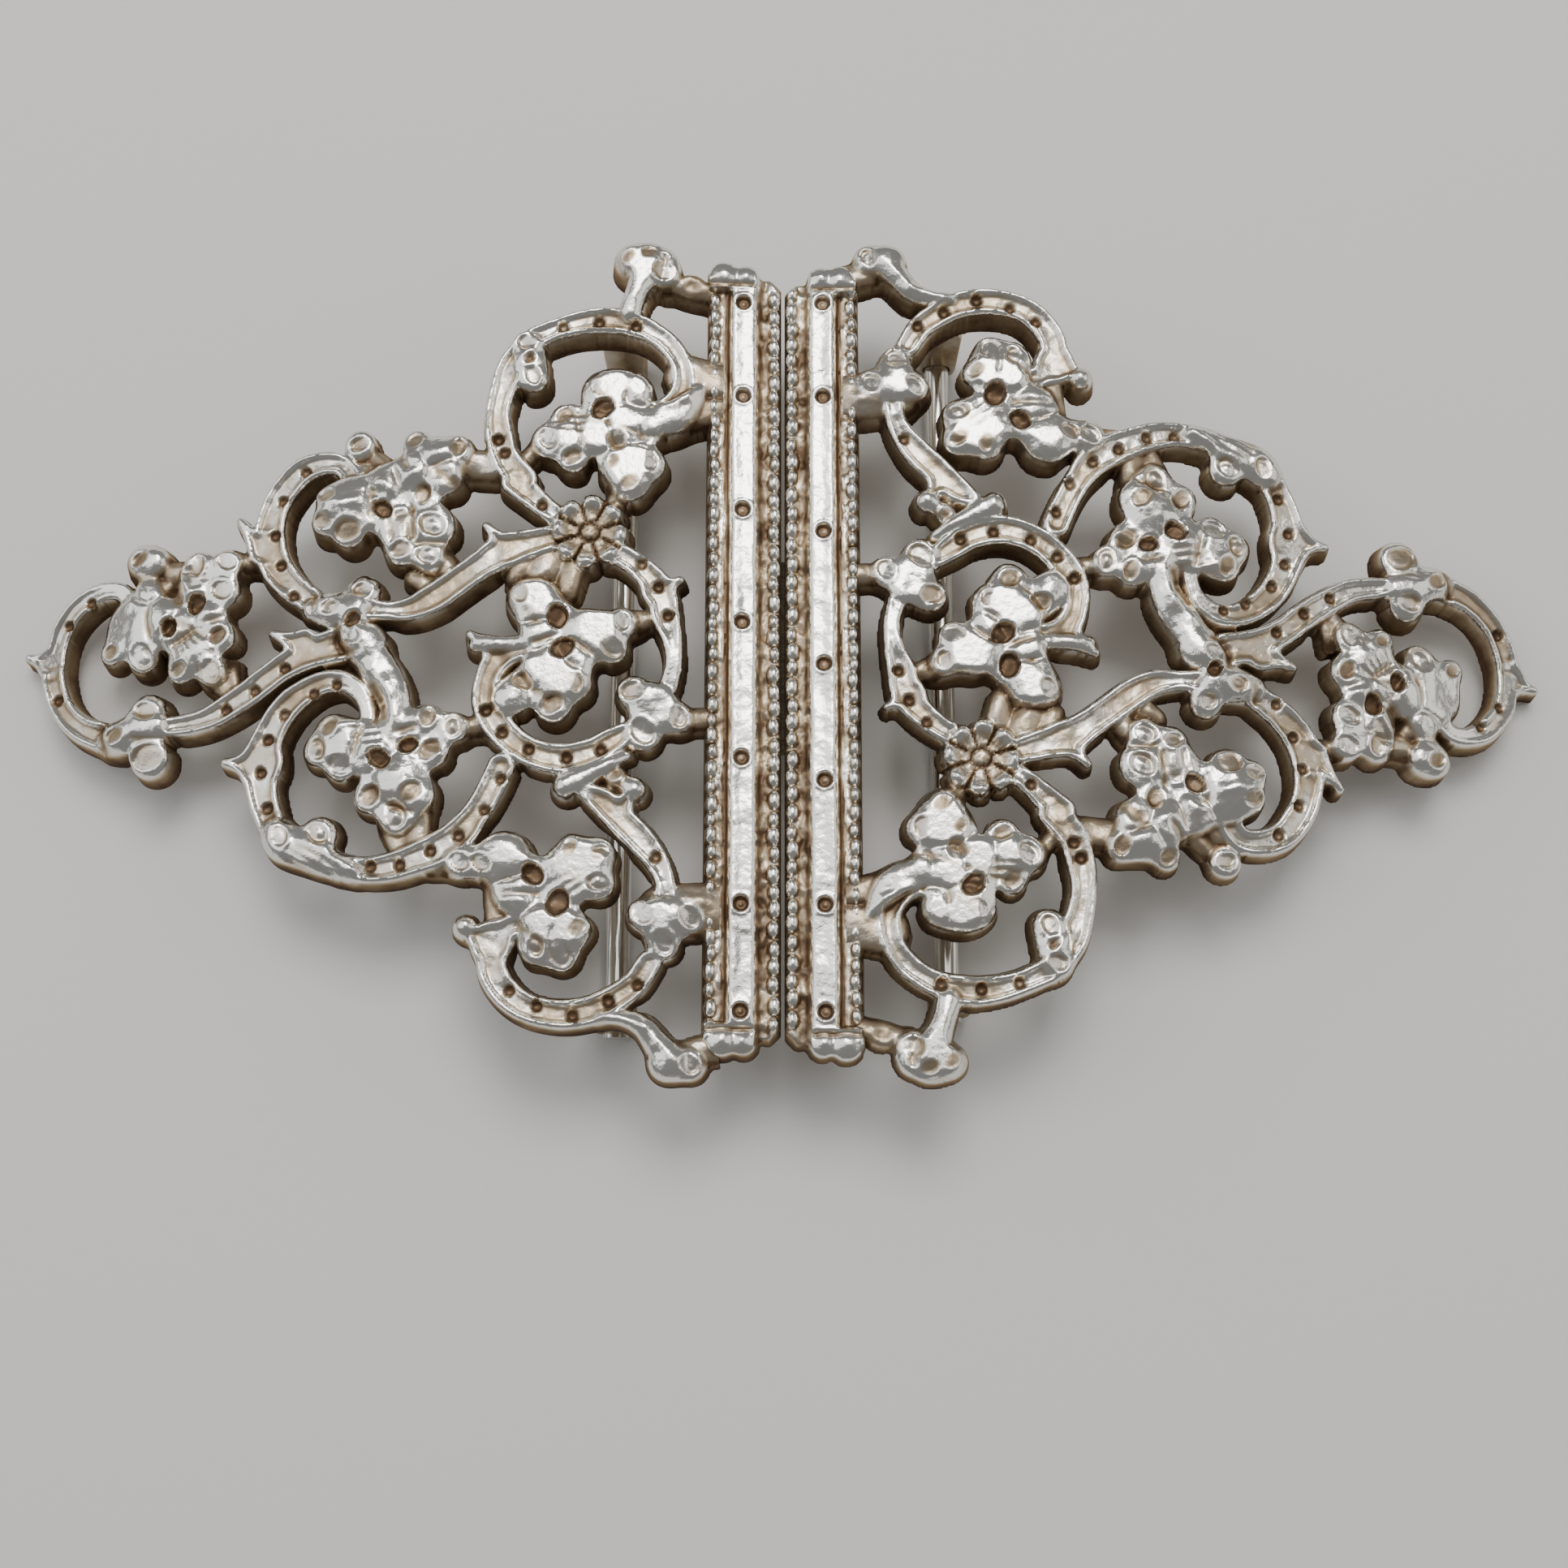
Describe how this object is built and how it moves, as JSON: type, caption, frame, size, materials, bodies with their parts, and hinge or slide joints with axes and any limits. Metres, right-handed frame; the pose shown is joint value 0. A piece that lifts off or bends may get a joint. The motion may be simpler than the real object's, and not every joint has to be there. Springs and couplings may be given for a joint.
{
  "type": "nurse clasp buckle",
  "caption": "Two-part pierced silver belt buckle for a nurse's belt, cast scrollwork on both halves, with a straight frame bar at the joint and a belt bar behind each half.",
  "frame": {"origin": "middle of the buckle, on the surface that it lies on", "axes": "+X along the buckle to the right half's tip, +Y up along the joint, +Z out of the front face"},
  "size_m": [0.0956, 0.0526, 0.0093],
  "materials": {
    "cast_silver": "cast silver, polished on the highs, brown tarnish in the recesses",
    "polished_silver": "drawn silver rod, polished",
    "plain_silver": "plain silver sheet, satin"
  },
  "bodies": {
    "root": {"openwork_left": "cast_silver", "openwork_right": "cast_silver", "belt_bar_left": "polished_silver", "belt_bar_right": "polished_silver", "clasp_hook": "plain_silver"}
  },
  "joints": []
}
